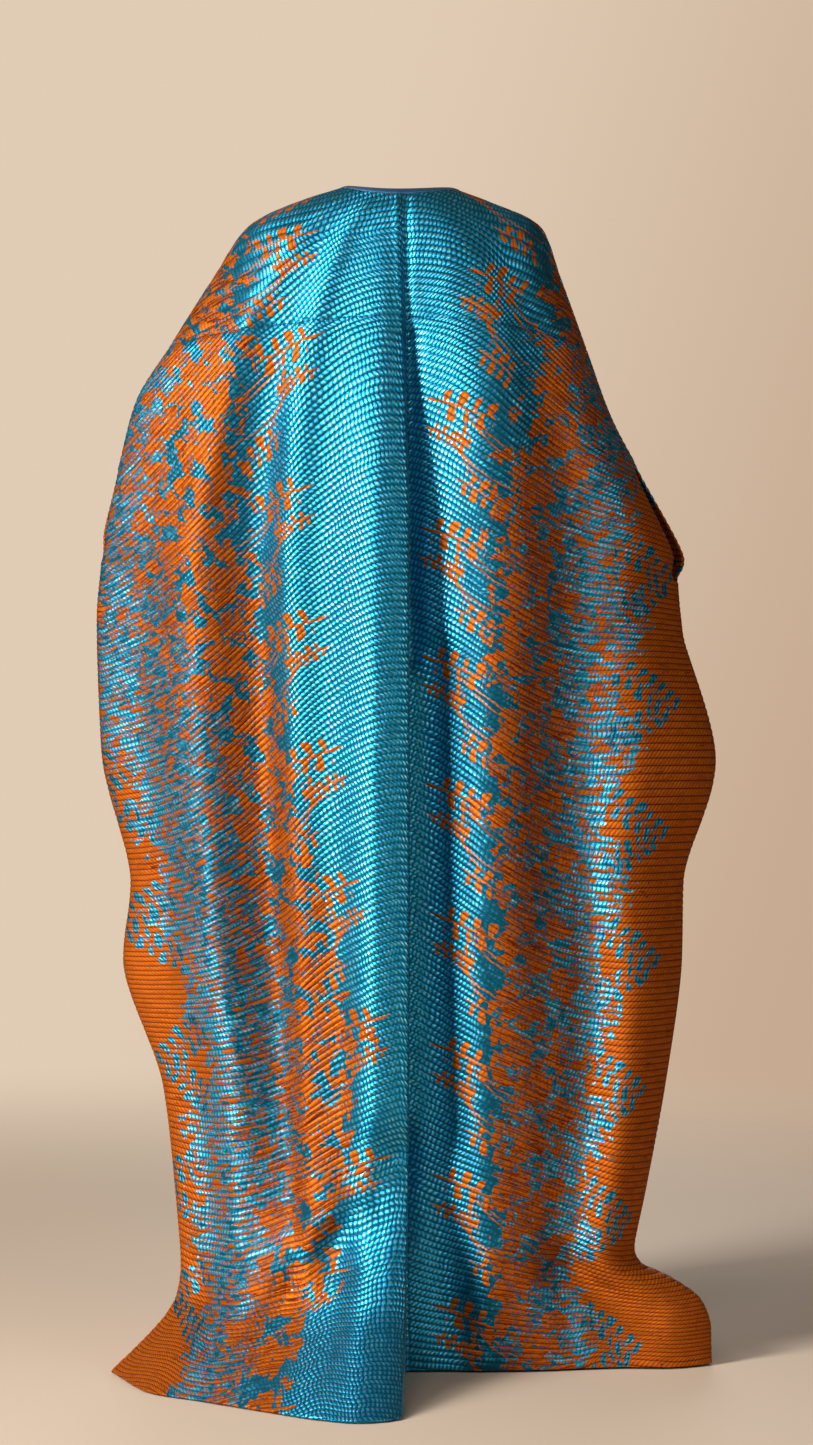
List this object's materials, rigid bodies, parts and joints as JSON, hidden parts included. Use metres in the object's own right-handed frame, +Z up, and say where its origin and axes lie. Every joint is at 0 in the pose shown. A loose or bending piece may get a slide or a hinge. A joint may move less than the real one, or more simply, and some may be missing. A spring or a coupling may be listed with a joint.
{
  "type": "kaftan",
  "caption": "Floor-length kaftan in ribbed floral brocade, worn form with open neck, cuffs and hem, centre-back lap fold and trailing back hem.",
  "frame": {"origin": "midway between the two points where the shoulders meet the neckline, where the wearer's shoulders hold the garment", "axes": "+Z up; the front faces -Y and the back +Y; +X is the wearer's left"},
  "size_m": [0.8338, 0.7817, 1.5716],
  "materials": {
    "brocade": "ribbed metallic brocade, turquoise in the middle with copper-orange flower sprays growing in from the sides",
    "binding": "dark blue satin binding"
  },
  "bodies": {
    "root": {"back_yoke": "brocade", "back_left": "brocade", "back_right": "brocade", "front_left": "brocade", "front_right": "brocade", "neck_binding": "binding"}
  },
  "joints": []
}
